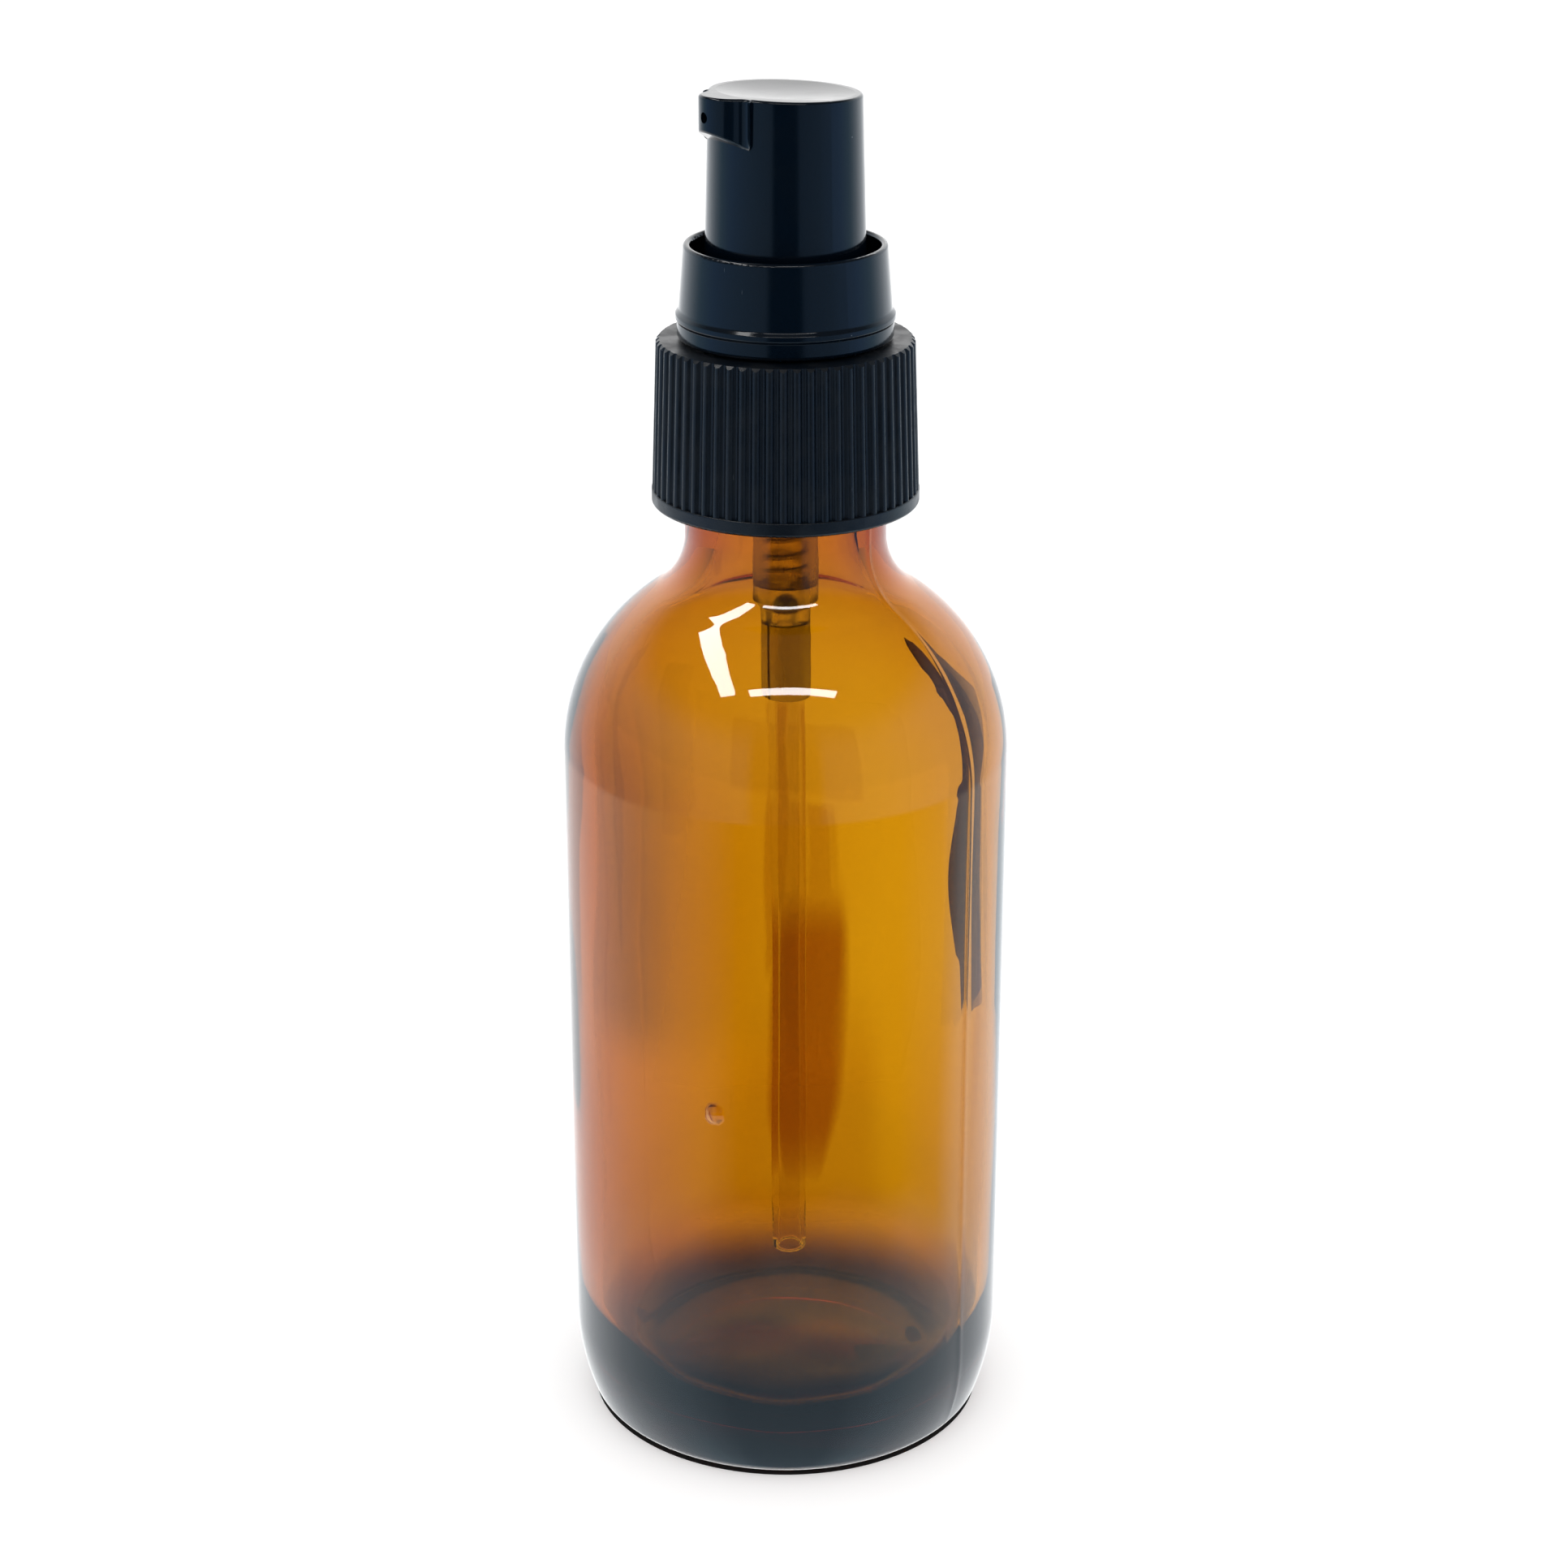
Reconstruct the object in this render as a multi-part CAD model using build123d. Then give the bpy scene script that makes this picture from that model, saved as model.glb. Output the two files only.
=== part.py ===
from build123d import *
from math import atan2, cos, degrees, pi, radians, sin, sqrt
import os

# Pump oil bottle: a 60 ml round glass bottle with a screw-on treatment pump.
# Millimetres, +Z up. The origin is the centre of the base, on the bottle's axis.
# The beak of the pump head points to -Y.

# Roundings, from the finest to the softest
TIP_ROUND = 0.1
FINE_ROUND = 0.15
SMALL_ROUND = 0.2
EDGE_ROUND = 0.25
RIM_ROUND = 0.28
SOFT_ROUND = 0.4

# How far a cutting shape runs past the face that it opens
PAST = 1.0

# Bottle
BODY_R = 19.5
WALL = 2.0
FLOOR_Z = 3.2
HEEL_Z = 8.4
HEEL_SWEEP_R = 22.0
HEEL_CORNER_R = 1.6
INNER_HEEL_W = 5.0
INNER_HEEL_H = 8.8
PUNT_R = 13.2
PUNT_H = 1.0
SHOULDER_Z = 63.2
SHOULDER_R = 17.4
NECK_R = 8.7
NECK_FILLET_R = 6.0
BORE_R = 5.9
BORE_FILLET_R = 8.8
BOTTLE_H = 96.0
LIP_ROUND = 0.7

# Screw finish, 20 mm, one start
PITCH = 3.175
FINISH_R = 8.8
FINISH_Z = 86.6
FINISH_STEP_H = 0.3
THREAD_R = 9.85
THREAD_ROOT_W = 2.0
THREAD_CREST_W = 0.8
THREAD_TURNS = 1.25
BOTTLE_THREAD_Z = 90.2
THREAD_SINK = 0.25

# Closure
CLOSURE_Z = 85.85
CLOSURE_TOP = 100.0
BAND_R = 11.45
BAND_H = 1.25
RIB_COUNT = 60
RIB_LOW_R = 11.4
RIB_HIGH_R = 10.95
RIB_DEPTH = 0.34
RIB_CREST_SHARE = 0.55
RIB_BEVEL = 0.25
SKIRT_BORE_R = 10.15
CLOSURE_THREAD_R = 9.15
CLOSURE_THREAD_DROP = 1.45
CLOSURE_THREAD_TURNS = 1.25
SEAT_BORE_R = 9.25
SEAT_BORE_Z = 95.6
SEAT_STEP_H = 0.4
DECK_Z = 98.35
DECK_HOLE_R = 6.6

# Gasket and the housing's flange, stacked on the lip
GASKET_IN_R = 5.2
GASKET_OUT_R = 8.9
GASKET_TOP = 96.95
FLANGE_R = 9.0
FLANGE_TOP = 98.3

# Pump housing: chamber above, spring bore below, then the ball seat and the tube socket
CHAMBER_R = 3.2
CHAMBER_OUT_R = 4.2
CHAMBER_FLOOR_Z = 85.9
COUNTERBORE_R = 3.9
COUNTERBORE_Z = 97.3
SPRING_BORE_R = 2.15
SPRING_OUT_R = 2.8
BARREL_LOW_Z = 76.9
BARREL_CONE_H = 0.8
CHAMBER_CONE_H = 1.2
BORE_CONE_H = 1.0
RETAINER_Z = 78.45
BALL_BORE_R = 1.5
SEAT_TOP_Z = 76.2
SEAT_LOW_Z = 75.5
THROAT_R = 0.8
SOCKET_TOP_Z = 74.0
SOCKET_OUT_R = 2.15
SOCKET_END_Z = 68.0
VENT_R = 0.4
VENT_Z = 94.2

# Dip tube
TUBE_R = 1.6
TUBE_BORE_R = 1.0
TUBE_END_Z = 13.8

# Inlet ball and its retainer
BALL_R = 1.19
BALL_GAP = 0.045
RETAINER_H = 0.75
RETAINER_SLOT_W = 0.6
RETAINER_SLOT_R = 1.55

# Plunger: piston rod, piston, stem
ROD_R = 1.1
ROD_HEAD_R = 2.6
ROD_HEAD_Z = 90.7
ROD_HEAD_H = 0.5
ROD_CONE_H = 0.6
ROD_TOP_Z = 100.5
ROD_TAIL_R = 1.2
ROD_TAIL_H = 1.6
FLUTE_W = 0.5
FLUTE_DEPTH = 0.35
PISTON_R = 3.15
PISTON_WAIST_R = 2.5
PISTON_BORE_R = 1.35
PISTON_TOP = 95.4
PISTON_GAP = 0.06
PISTON_LIP_H = 0.3
PISTON_FLARE_H = 0.7
STEM_R = 2.0
STEM_BORE_R = 1.18
STEM_LOW_Z = 96.25
STEM_TOP_Z = 118.4
STEM_FLANGE_R = 2.9
STEM_FLANGE_Z = 96.7
STEM_FLANGE_H = 0.58
SPRING_R = 1.7
SPRING_WIRE_R = 0.225
SPRING_TURNS = 9
SPRING_END_GAP = 0.02

# Chaplet
CHAPLET_Z = 97.35
GUIDE_BORE_R = 2.06
GUIDE_R = 3.2
GUIDE_TOP = 103.6
COLLAR_R = 6.3
COLLAR_IN_R = 5.2
COLLAR_TOP = 100.95
COLLAR_GROOVE_R = 6.0
COLLAR_TAPER = 0.2
WEB_GAP = 0.05
TROUGH_Z = 99.3

# Shroud
SHROUD_Z = 100.15
SHROUD_RIM_Z = 108.1
SHROUD_RIM_R = 8.55
SHROUD_IN_R = 7.95
SHROUD_FOOT_R = 9.15
SHROUD_WAIST_R = 8.98
BEAD_R = 9.27
BEAD_Z = 102.1
BEAD_HALF_H = 0.5
SHROUD_DRAFT = 0.35
WEB_H = 0.6
WEB_HOLE_R = 6.05

# Actuator
HEAD_TOP_Z = 120.7
HEAD_TOP_R = 6.38
HEAD_LOW_Z = 106.0
HEAD_LOW_R = 6.8
HEAD_BORE_R = 5.6
HEAD_ROOF_Z = 119.2
TOP_SLOPE = 0.04
DISH_SPHERE_R = 52.0
DISH_DEPTH = 0.32
BEAK_REACH = 8.1
NOSE_R = 2.5
NOSE_SWEEP = 72.0
BEAK_ROOT_ANGLE = 30.0
BEAK_TIP_H = 2.9
BEAK_UNDER_SLOPE = 0.55
HUB_R = 2.9
HUB_LOW_Z = 109.2
CHANNEL_Z = 119.3
CHANNEL_R = 0.5
ORIFICE_R = 0.45
ORIFICE_DEPTH = 1.2
CHANNEL_BOSS_W = 2.6
CHANNEL_BOSS_Z = 117.8


def turned(*edges):
    """Solid of revolution from edges drawn as (radius, height)."""
    return revolve(Plane.XZ * make_face(edges), Axis.Z)


def ring(*corners):
    """Solid of revolution from (radius, height) or (radius, height, rounding) corners."""
    points = [corner[:2] for corner in corners]
    roundings = [corner[2] if len(corner) == 3 else 0 for corner in corners]
    return turned(FilletPolyline(*points, radius=roundings, close=True))


def cylinder(radius, low, high):
    """Solid cylinder on the axis between two heights."""
    middle = (low + high) / 2
    return Pos(0, 0, middle) * Cylinder(radius, high - low)


def thread(root_r, crest_r, low_z, turns):
    """Helical ridge of trapezoid section, from root_r to crest_r, starting on the +X side."""
    outward = 1 if crest_r > root_r else -1
    sunk_r = root_r - outward * THREAD_SINK
    slope = (THREAD_ROOT_W - THREAD_CREST_W) / 2 / abs(crest_r - root_r)
    sunk_w = THREAD_ROOT_W / 2 + slope * THREAD_SINK
    crest_w = THREAD_CREST_W / 2
    path = Helix(PITCH, PITCH * turns, root_r, center=(0, 0, low_z))
    corners = [
        (sunk_r - root_r, -sunk_w),
        (crest_r - root_r, -crest_w),
        (crest_r - root_r, crest_w),
        (sunk_r - root_r, sunk_w),
    ]
    plane = Plane(origin=path @ 0, x_dir=(1, 0, 0), z_dir=-(path % 0))
    section = plane * make_face(Polyline(*corners, close=True))
    return sweep(section, path=path, is_frenet=True)


def make_bottle():
    """Glass bottle: punted base, round shoulder, threaded neck, and an even wall."""
    arc_x = BODY_R - SHOULDER_R
    fillet_x = NECK_R + NECK_FILLET_R
    fillet_z = SHOULDER_Z + sqrt((SHOULDER_R + NECK_FILLET_R) ** 2 - (fillet_x - arc_x) ** 2)
    join = degrees(atan2(fillet_z - SHOULDER_Z, fillet_x - arc_x))
    sweep_x = BODY_R - HEEL_SWEEP_R
    corner_reach = sqrt((HEEL_SWEEP_R - HEEL_CORNER_R) ** 2 - (HEEL_Z - HEEL_CORNER_R) ** 2)
    lean = degrees(atan2(HEEL_Z - HEEL_CORNER_R, corner_reach))
    corner = CenterArc((sweep_x + corner_reach, HEEL_CORNER_R), HEEL_CORNER_R, -90, 90 - lean)
    heel = CenterArc((sweep_x, HEEL_Z), HEEL_SWEEP_R, -lean, lean)
    shoulder = CenterArc((arc_x, SHOULDER_Z), SHOULDER_R, 0, join)
    neck_fillet = CenterArc((fillet_x, fillet_z), NECK_FILLET_R, 180 + join, -join)
    punt_r = (PUNT_R**2 + PUNT_H**2) / (2 * PUNT_H)
    punt_half_angle = degrees(atan2(PUNT_R, punt_r - PUNT_H))
    punt = CenterArc((0, PUNT_H - punt_r), punt_r, 90, -punt_half_angle)
    finish = Polyline(
        neck_fillet @ 1,
        (NECK_R, FINISH_Z - FINISH_STEP_H),
        (FINISH_R, FINISH_Z),
        (FINISH_R, BOTTLE_H),
        (0, BOTTLE_H),
        (0, PUNT_H),
    )
    outside = turned(
        punt,
        Line(punt @ 1, corner @ 0),
        corner,
        heel,
        Line(heel @ 1, shoulder @ 0),
        shoulder,
        neck_fillet,
        finish,
    )
    inner_r = BODY_R - WALL
    inner_shoulder_r = SHOULDER_R - WALL
    bore_x = BORE_R + BORE_FILLET_R
    bore_z = SHOULDER_Z + sqrt((inner_shoulder_r + BORE_FILLET_R) ** 2 - (bore_x - arc_x) ** 2)
    inner_join = degrees(atan2(bore_z - SHOULDER_Z, bore_x - arc_x))
    inner_heel = EllipticalCenterArc(
        (inner_r - INNER_HEEL_W, FLOOR_Z + INNER_HEEL_H), INNER_HEEL_W, INNER_HEEL_H, -90, arc_size=90
    )
    inner_shoulder = CenterArc((arc_x, SHOULDER_Z), inner_shoulder_r, 0, inner_join)
    bore_fillet = CenterArc((bore_x, bore_z), BORE_FILLET_R, 180 + inner_join, -inner_join)
    above = BOTTLE_H + PAST
    inside = turned(
        Line((0, FLOOR_Z), inner_heel @ 0),
        inner_heel,
        Line(inner_heel @ 1, inner_shoulder @ 0),
        inner_shoulder,
        bore_fillet,
        Polyline(bore_fillet @ 1, (BORE_R, above), (0, above), (0, FLOOR_Z)),
    )
    body = outside - inside
    lip = body.edges().filter_by(GeomType.CIRCLE).group_by(Axis.Z)[-1]
    body = fillet(lip, LIP_ROUND)
    return body + thread(FINISH_R, THREAD_R, BOTTLE_THREAD_Z, THREAD_TURNS)


def rib_face(crest_r):
    """Scalloped disc: round ribs with round valleys between them."""
    pitch = 2 * pi / RIB_COUNT
    half_crest = pitch * RIB_CREST_SHARE / 2
    middle_r = crest_r - RIB_DEPTH / 2
    valley_r = crest_r - RIB_DEPTH

    def spot(radius, angle):
        return (radius * cos(angle), radius * sin(angle))

    edges = []
    for index in range(RIB_COUNT):
        angle = index * pitch
        start = spot(middle_r, angle - half_crest)
        end = spot(middle_r, angle + half_crest)
        following = spot(middle_r, angle + pitch - half_crest)
        edges.append(ThreePointArc(start, spot(crest_r, angle), end))
        edges.append(ThreePointArc(end, spot(valley_r, angle + pitch / 2), following))
    return make_face(edges)


def make_closure():
    """Screw cap: plain band, ribbed skirt with draft, open deck, and the inside thread."""
    band_top = CLOSURE_Z + BAND_H
    low_face = Pos(0, 0, band_top) * rib_face(RIB_LOW_R)
    high_face = Pos(0, 0, CLOSURE_TOP) * rib_face(RIB_HIGH_R)
    ribs = loft([low_face, high_face], ruled=True)
    envelope = ring(
        (0, band_top),
        (RIB_LOW_R + PAST, band_top),
        (RIB_HIGH_R + PAST, CLOSURE_TOP - RIB_BEVEL - PAST),
        (RIB_HIGH_R - RIB_BEVEL, CLOSURE_TOP),
        (0, CLOSURE_TOP),
    )
    band = ring(
        (0, CLOSURE_Z),
        (BAND_R, CLOSURE_Z, EDGE_ROUND),
        (BAND_R, band_top, EDGE_ROUND / 2),
        (0, band_top),
    )
    hollow = ring(
        (0, CLOSURE_Z - PAST),
        (SKIRT_BORE_R, CLOSURE_Z - PAST),
        (SKIRT_BORE_R, SEAT_BORE_Z),
        (SEAT_BORE_R, SEAT_BORE_Z + SEAT_STEP_H),
        (SEAT_BORE_R, DECK_Z),
        (DECK_HOLE_R, DECK_Z),
        (DECK_HOLE_R, CLOSURE_TOP + PAST),
        (0, CLOSURE_TOP + PAST),
    )
    shell = (ribs & envelope) + band - hollow
    low_z = BOTTLE_THREAD_Z - CLOSURE_THREAD_DROP
    return shell + thread(SKIRT_BORE_R, CLOSURE_THREAD_R, low_z, CLOSURE_THREAD_TURNS)


def make_gasket():
    """Foam ring between the lip and the housing's flange."""
    return ring(
        (GASKET_IN_R, BOTTLE_H),
        (GASKET_OUT_R, BOTTLE_H),
        (GASKET_OUT_R, GASKET_TOP),
        (GASKET_IN_R, GASKET_TOP),
    )


def make_housing():
    """Pump cylinder: flange, chamber, spring bore, ball seat and tube socket, with a vent."""
    shoulder_z = CHAMBER_FLOOR_Z - BARREL_CONE_H
    outside = ring(
        (0, SOCKET_END_Z),
        (SOCKET_OUT_R, SOCKET_END_Z, SMALL_ROUND),
        (SOCKET_OUT_R, BARREL_LOW_Z - BARREL_CONE_H),
        (SPRING_OUT_R, BARREL_LOW_Z),
        (SPRING_OUT_R, shoulder_z - CHAMBER_CONE_H, SOFT_ROUND),
        (CHAMBER_OUT_R, shoulder_z, SOFT_ROUND),
        (CHAMBER_OUT_R, GASKET_TOP),
        (FLANGE_R, GASKET_TOP, FINE_ROUND),
        (FLANGE_R, FLANGE_TOP, FINE_ROUND),
        (0, FLANGE_TOP),
    )
    inside = ring(
        (0, SOCKET_TOP_Z),
        (THROAT_R, SOCKET_TOP_Z),
        (THROAT_R, SEAT_LOW_Z),
        (BALL_BORE_R, SEAT_TOP_Z),
        (BALL_BORE_R, RETAINER_Z),
        (SPRING_BORE_R, RETAINER_Z),
        (SPRING_BORE_R, CHAMBER_FLOOR_Z - BORE_CONE_H),
        (CHAMBER_R, CHAMBER_FLOOR_Z),
        (CHAMBER_R, COUNTERBORE_Z),
        (COUNTERBORE_R, COUNTERBORE_Z),
        (COUNTERBORE_R, FLANGE_TOP + PAST),
        (0, FLANGE_TOP + PAST),
    )
    socket = cylinder(TUBE_R, SOCKET_END_Z - PAST, SOCKET_TOP_Z)
    vent_length = 2 * (CHAMBER_OUT_R - CHAMBER_R)
    vent_y = (CHAMBER_R + CHAMBER_OUT_R) / 2
    vent = Pos(0, vent_y, VENT_Z) * Rot(90, 0, 0) * Cylinder(VENT_R, vent_length)
    return outside - inside - socket - vent


def make_dip_tube():
    """Straight tube, pushed up into the housing's socket."""
    return ring(
        (TUBE_BORE_R, TUBE_END_Z, TIP_ROUND),
        (TUBE_R, TUBE_END_Z, FINE_ROUND),
        (TUBE_R, SOCKET_TOP_Z),
        (TUBE_BORE_R, SOCKET_TOP_Z),
    )


def make_inlet_ball():
    """Ball valve, resting on its 45 degree seat."""
    cone_tip_z = SEAT_TOP_Z - BALL_BORE_R
    return Pos(0, 0, cone_tip_z + BALL_R * sqrt(2) + BALL_GAP) * Sphere(BALL_R)


def make_ball_retainer():
    """Slotted ring that carries the spring and stops the ball."""
    top = RETAINER_Z + RETAINER_H
    body = ring(
        (THROAT_R, RETAINER_Z),
        (SPRING_BORE_R, RETAINER_Z),
        (SPRING_BORE_R, top),
        (THROAT_R, top),
    )
    middle_z = (RETAINER_Z + top) / 2
    slot = Pos(RETAINER_SLOT_R / 2, 0, middle_z) * Box(RETAINER_SLOT_R, RETAINER_SLOT_W, RETAINER_H)
    for angle in (0, 120, 240):
        body -= Rot(0, 0, angle) * slot
    return body


def make_return_spring():
    """Round-wire compression spring between the retainer and the rod's head."""
    low = RETAINER_Z + RETAINER_H + SPRING_WIRE_R + SPRING_END_GAP
    high = ROD_HEAD_Z - SPRING_WIRE_R - SPRING_END_GAP
    path = Helix((high - low) / SPRING_TURNS, high - low, SPRING_R, center=(0, 0, low))
    section = Plane(origin=path @ 0, z_dir=path % 0) * Circle(SPRING_WIRE_R)
    return sweep(section, path=path, is_frenet=True)


def make_piston_rod():
    """Rod with a cone head that closes the piston, a spring tail, and a fluted top."""
    cone_z = ROD_HEAD_Z + ROD_HEAD_H
    body = ring(
        (0, ROD_HEAD_Z - ROD_TAIL_H),
        (ROD_TAIL_R, ROD_HEAD_Z - ROD_TAIL_H, SMALL_ROUND),
        (ROD_TAIL_R, ROD_HEAD_Z),
        (ROD_HEAD_R, ROD_HEAD_Z),
        (ROD_HEAD_R, cone_z),
        (ROD_R, cone_z + ROD_CONE_H),
        (ROD_R, ROD_TOP_Z, SMALL_ROUND),
        (0, ROD_TOP_Z),
    )
    flute_z = (PISTON_TOP + ROD_TOP_Z) / 2
    flute_h = ROD_TOP_Z - PISTON_TOP + PAST
    for angle in (0, 90, 180, 270):
        flute = Pos(ROD_R, 0, flute_z) * Box(2 * FLUTE_DEPTH, FLUTE_W, flute_h)
        body -= Rot(0, 0, angle) * flute
    return body


def make_piston():
    """Sleeve with an upper and a lower lip, and a cone seat on the rod's head."""
    cone_z = ROD_HEAD_Z + ROD_HEAD_H + PISTON_GAP
    per_radius = ROD_CONE_H / (ROD_HEAD_R - ROD_R)
    lip_z = PISTON_TOP - PISTON_LIP_H

    def seat(radius):
        return (radius, cone_z + (ROD_HEAD_R - radius) * per_radius)

    return ring(
        seat(PISTON_BORE_R),
        seat(PISTON_WAIST_R),
        (PISTON_R, cone_z - SMALL_ROUND),
        (PISTON_R, cone_z + PISTON_LIP_H, TIP_ROUND),
        (PISTON_WAIST_R, cone_z + PISTON_LIP_H + PISTON_FLARE_H, SMALL_ROUND),
        (PISTON_WAIST_R, lip_z - PISTON_FLARE_H, SMALL_ROUND),
        (PISTON_R, lip_z, TIP_ROUND),
        (PISTON_R, PISTON_TOP),
        (PISTON_WAIST_R, lip_z),
        (PISTON_BORE_R, lip_z),
    )


def make_stem():
    """Hollow stem, with the flange that stops it under the chaplet."""
    flange_top = STEM_FLANGE_Z + STEM_FLANGE_H
    return ring(
        (STEM_BORE_R, STEM_LOW_Z),
        (STEM_R, STEM_LOW_Z),
        (STEM_R, STEM_FLANGE_Z),
        (STEM_FLANGE_R, STEM_FLANGE_Z),
        (STEM_FLANGE_R, flange_top),
        (STEM_R, flange_top),
        (STEM_R, STEM_TOP_Z, SMALL_ROUND),
        (STEM_BORE_R, STEM_TOP_Z),
    )


def make_chaplet():
    """Cap of the housing: plug, stem guide, and the grooved collar that the shroud snaps on."""
    return ring(
        (GUIDE_BORE_R, CHAPLET_Z),
        (COUNTERBORE_R, CHAPLET_Z),
        (COUNTERBORE_R, FLANGE_TOP),
        (COLLAR_R, FLANGE_TOP),
        (COLLAR_R, SHROUD_Z - WEB_GAP),
        (COLLAR_GROOVE_R, SHROUD_Z - WEB_GAP),
        (COLLAR_GROOVE_R, SHROUD_Z + WEB_H + WEB_GAP),
        (COLLAR_R - COLLAR_TAPER / 2, SHROUD_Z + WEB_H + WEB_GAP),
        (COLLAR_R - COLLAR_TAPER, COLLAR_TOP),
        (COLLAR_IN_R, COLLAR_TOP),
        (COLLAR_IN_R, TROUGH_Z, SMALL_ROUND),
        (GUIDE_R, TROUGH_Z, SMALL_ROUND),
        (GUIDE_R - COLLAR_TAPER, GUIDE_TOP, SMALL_ROUND),
        (GUIDE_BORE_R, GUIDE_TOP),
    )


def make_shroud():
    """Smooth sleeve around the head: rolled rim, overcap bead, rounded foot, and an inner web."""
    web_top = SHROUD_Z + WEB_H
    return ring(
        (WEB_HOLE_R, SHROUD_Z),
        (SHROUD_FOOT_R, SHROUD_Z, SOFT_ROUND),
        (SHROUD_FOOT_R, BEAD_Z - BEAD_HALF_H, TIP_ROUND),
        (BEAD_R, BEAD_Z - BEAD_HALF_H / 2, SMALL_ROUND),
        (BEAD_R, BEAD_Z + BEAD_HALF_H / 4, SMALL_ROUND),
        (SHROUD_WAIST_R, BEAD_Z + BEAD_HALF_H, SOFT_ROUND),
        (SHROUD_RIM_R, SHROUD_RIM_Z, RIM_ROUND),
        (SHROUD_IN_R, SHROUD_RIM_Z, RIM_ROUND),
        (SHROUD_IN_R + SHROUD_DRAFT, web_top, SOFT_ROUND),
        (WEB_HOLE_R, web_top),
    )


def beak_face():
    """Plan of the beak: a round nose, with hollow flanks that meet the head in a crease."""
    centre_y = NOSE_R - BEAK_REACH
    sweep_angle = radians(NOSE_SWEEP)
    root = radians(BEAK_ROOT_ANGLE)
    side = (NOSE_R * sin(sweep_angle), centre_y - NOSE_R * cos(sweep_angle))
    foot = (HEAD_LOW_R * sin(root), -HEAD_LOW_R * cos(root))
    flank = TangentArc(side, foot, tangent=(cos(sweep_angle), sin(sweep_angle)))
    nose = ThreePointArc(side, (0, -BEAK_REACH), (-side[0], side[1]))
    closing = Polyline(foot, (0, 0), (-foot[0], foot[1]))
    return make_face([flank, nose, mirror(flank, Plane.YZ), closing])


def make_actuator():
    """Press-down head: tapered cylinder with a sloping dished top, a beak, and its channel."""
    above = HEAD_TOP_Z + PAST
    taper = (HEAD_LOW_R - HEAD_TOP_R) / (HEAD_TOP_Z - HEAD_LOW_Z)
    barrel = ring(
        (0, HEAD_LOW_Z),
        (HEAD_LOW_R, HEAD_LOW_Z, EDGE_ROUND),
        (HEAD_TOP_R - taper * (above - HEAD_TOP_Z), above),
        (0, above),
    )
    tip_z = HEAD_TOP_Z + TOP_SLOPE * BEAK_REACH - BEAK_TIP_H
    root_z = tip_z - BEAK_UNDER_SLOPE * BEAK_REACH
    beak = Pos(0, 0, root_z) * extrude(beak_face(), above - root_z)
    under = Plane((0, -BEAK_REACH, tip_z), x_dir=(1, 0, 0), z_dir=(0, -BEAK_UNDER_SLOPE, -1))
    beak = split(beak, bisect_by=under, keep=Keep.BOTTOM)
    beak = fillet(beak.edges().filter_by(lambda edge: under.contains(edge.center())), EDGE_ROUND)
    top = Plane((0, 0, HEAD_TOP_Z), x_dir=(1, 0, 0), z_dir=(0, TOP_SLOPE, 1))
    solid = split(barrel + beak, bisect_by=top, keep=Keep.BOTTOM)
    rim = solid.faces().sort_by(Axis.Z)[-1].edges()
    solid = fillet(rim, EDGE_ROUND)
    dish = top * Pos(0, 0, DISH_SPHERE_R - DISH_DEPTH) * Sphere(DISH_SPHERE_R)
    cavity = cylinder(HEAD_BORE_R, HEAD_LOW_Z - PAST, HEAD_ROOF_Z)
    hub = cylinder(HUB_R, HUB_LOW_Z, HEAD_ROOF_Z)
    boss_h = HEAD_ROOF_Z - CHANNEL_BOSS_Z
    boss_middle = Pos(0, -HEAD_BORE_R / 2, CHANNEL_BOSS_Z + boss_h / 2)
    boss = boss_middle * Box(CHANNEL_BOSS_W, HEAD_BORE_R, boss_h)
    solid = solid - dish - (cavity - hub - boss)
    solid -= cylinder(STEM_R, HUB_LOW_Z - PAST, STEM_TOP_Z)
    solid -= cylinder(STEM_BORE_R, STEM_TOP_Z, CHANNEL_Z + CHANNEL_R)
    along = Pos(0, -BEAK_REACH / 2, CHANNEL_Z) * Rot(90, 0, 0)
    solid -= Pos(0, ORIFICE_DEPTH / 2, 0) * along * Cylinder(CHANNEL_R, BEAK_REACH - ORIFICE_DEPTH)
    return solid - along * Cylinder(ORIFICE_R, BEAK_REACH + PAST)


parts = {
    "bottle": make_bottle,
    "closure": make_closure,
    "gasket": make_gasket,
    "housing": make_housing,
    "chaplet": make_chaplet,
    "shroud": make_shroud,
    "dip_tube": make_dip_tube,
    "ball_retainer": make_ball_retainer,
    "inlet_ball": make_inlet_ball,
    "return_spring": make_return_spring,
    "piston_rod": make_piston_rod,
    "piston": make_piston,
    "stem": make_stem,
    "actuator": make_actuator,
}

os.makedirs("parts", exist_ok=True)
for node, make in parts.items():
    shape = make()
    export_step(shape, f"parts/{node}.step")
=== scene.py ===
"""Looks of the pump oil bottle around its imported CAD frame.

Metres, +Z up, with the origin at the centre of the bottle's base. The beak points to -Y.
Lengths named here are millimetres, and MM turns them into metres.
"""
import math

import bpy
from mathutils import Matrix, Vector, noise


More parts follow.
